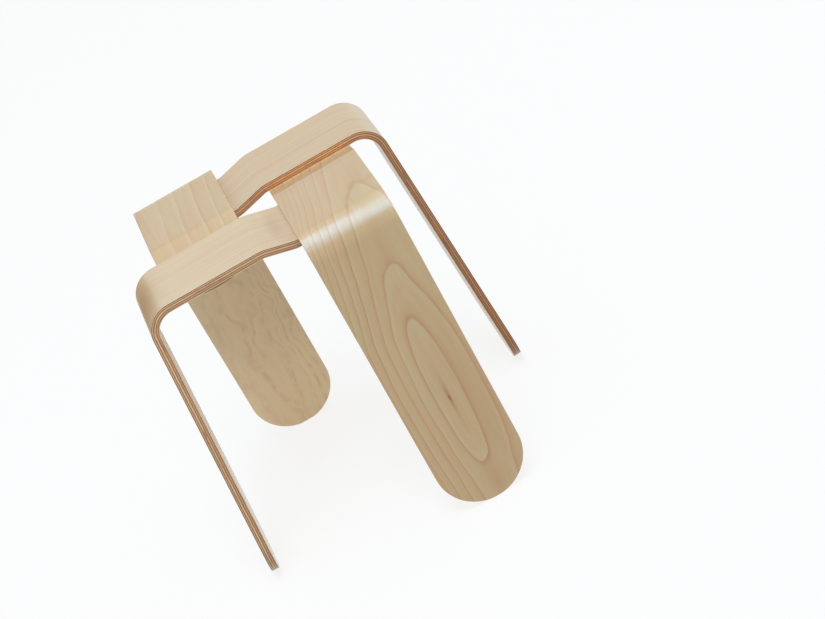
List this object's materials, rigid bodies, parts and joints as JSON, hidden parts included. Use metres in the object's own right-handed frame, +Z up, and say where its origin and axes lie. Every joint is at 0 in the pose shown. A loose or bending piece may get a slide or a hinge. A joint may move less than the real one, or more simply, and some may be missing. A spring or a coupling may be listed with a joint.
{
  "type": "stacking stool",
  "caption": "Backless stacking stool of woven bent-plywood members, each a seat slat and leg in one, round a square hand hole, with splayed legs and rounded feet.",
  "frame": {"origin": "on the floor, under the middle of the square hand hole", "axes": "+Z up; the front member's leg stands at -Y, the right member's at +X, the back member's at +Y and the left member's at -X"},
  "size_m": [0.459, 0.459, 0.45],
  "materials": {
    "plywood": "pale maple-faced plywood, satin clear lacquer, bare layered edges",
    "screw_steel": "bright zinc plate"
  },
  "bodies": {
    "root": {"front_member": "plywood", "right_member": "plywood", "back_member": "plywood", "left_member": "plywood", "front_tail_screw_1": "screw_steel", "front_tail_screw_2": "screw_steel", "front_tail_screw_3": "screw_steel", "front_tail_screw_4": "screw_steel", "right_tail_screw_1": "screw_steel", "right_tail_screw_2": "screw_steel", "right_tail_screw_3": "screw_steel", "right_tail_screw_4": "screw_steel", "back_tail_screw_1": "screw_steel", "back_tail_screw_2": "screw_steel", "back_tail_screw_3": "screw_steel", "back_tail_screw_4": "screw_steel", "left_tail_screw_1": "screw_steel", "left_tail_screw_2": "screw_steel", "left_tail_screw_3": "screw_steel", "left_tail_screw_4": "screw_steel"}
  },
  "joints": []
}
